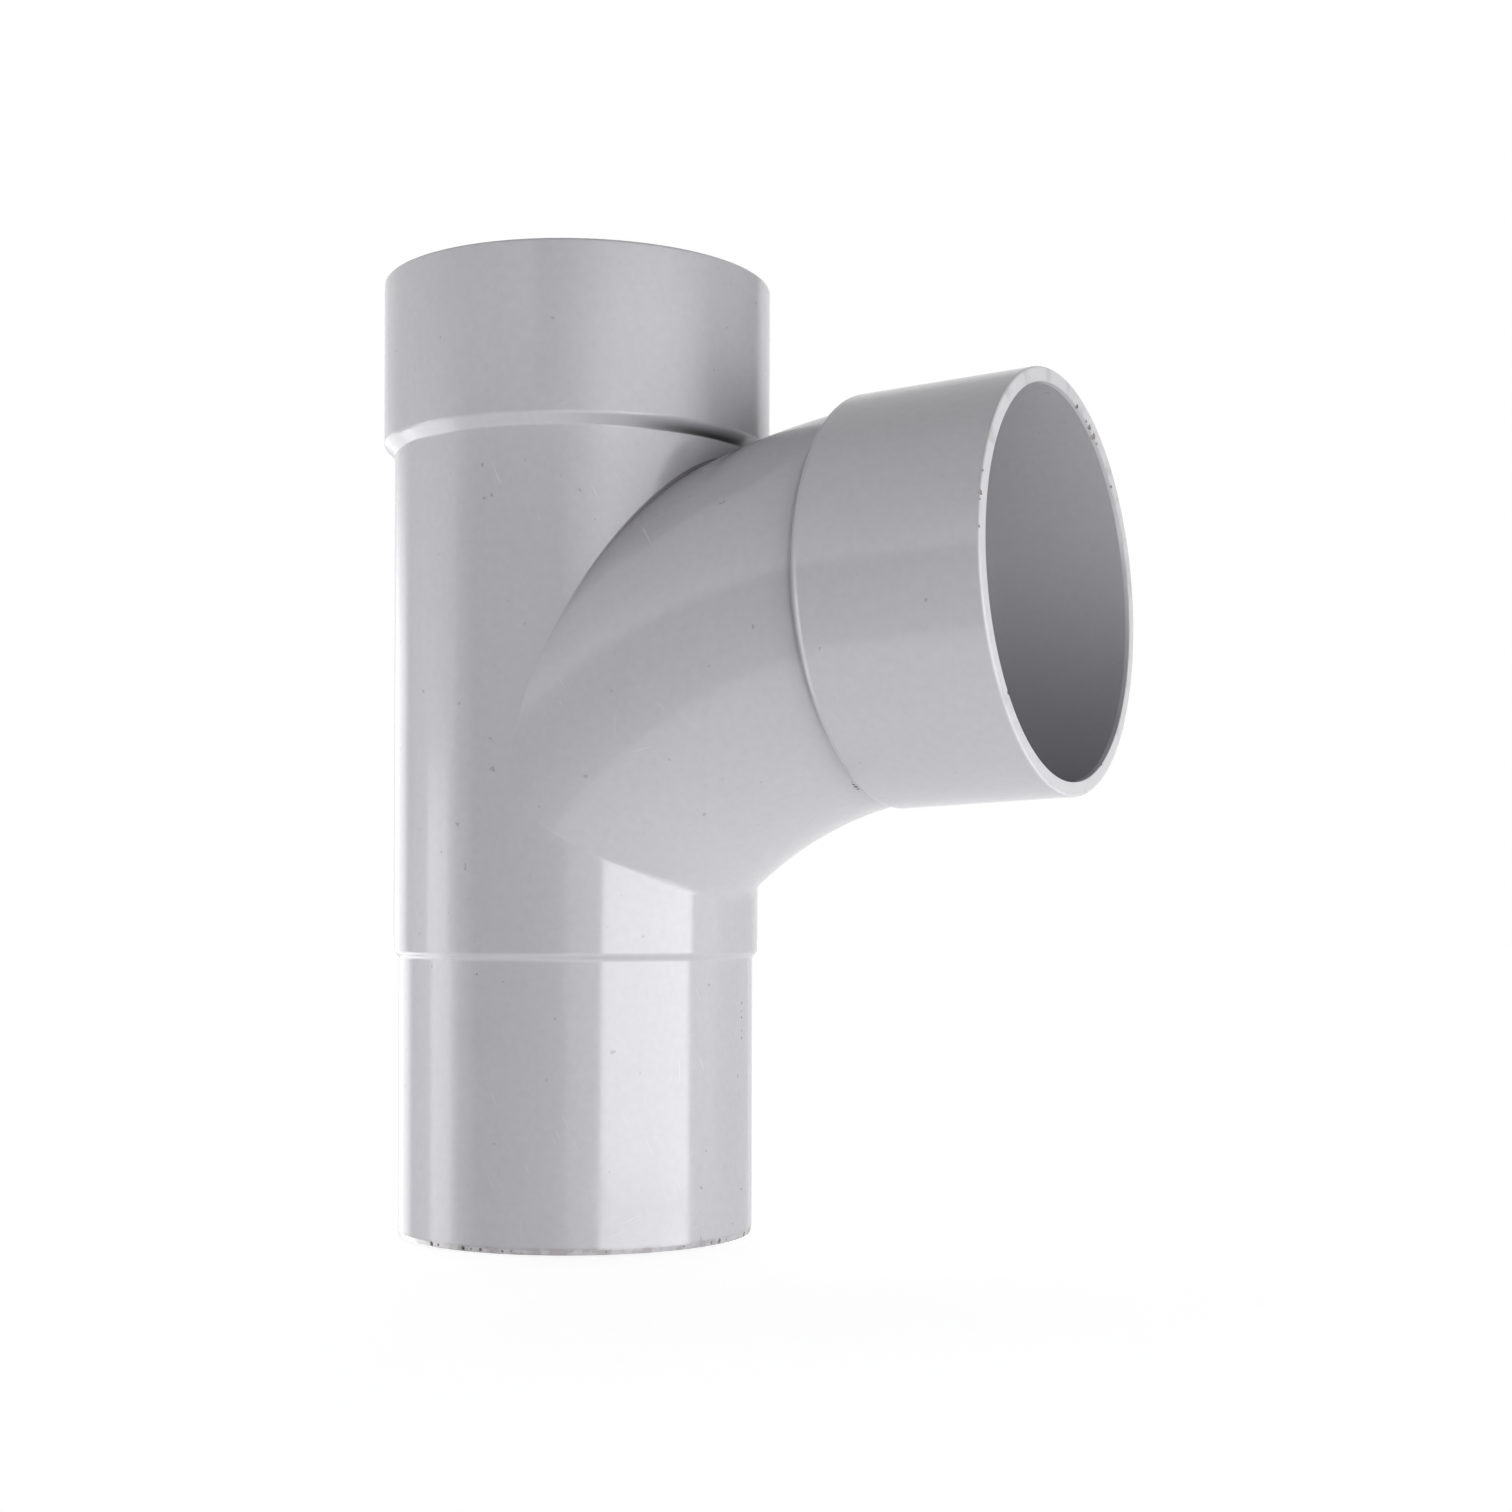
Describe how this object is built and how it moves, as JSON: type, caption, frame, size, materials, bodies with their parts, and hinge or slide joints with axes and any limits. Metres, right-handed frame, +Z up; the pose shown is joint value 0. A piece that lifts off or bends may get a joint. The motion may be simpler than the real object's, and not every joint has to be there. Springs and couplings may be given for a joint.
{
  "type": "pipe tee",
  "caption": "Swept drain-pipe tee: a plain spigot below, a socket on top and a socket on a curved side branch that leaves nearly square.",
  "frame": {"origin": "centre of the spigot's end face, at the bottom of the main run", "axes": "+Z up the main run from the spigot to the top socket, +X towards the side of the branch, +Y completes the right-handed frame"},
  "size_m": [0.223, 0.1196, 0.2925],
  "materials": {
    "rigid_pvc": "glossy injection-moulded light grey rigid PVC, with faint marks from handling"
  },
  "bodies": {
    "root": {"pipe_tee": "rigid_pvc"}
  },
  "joints": []
}
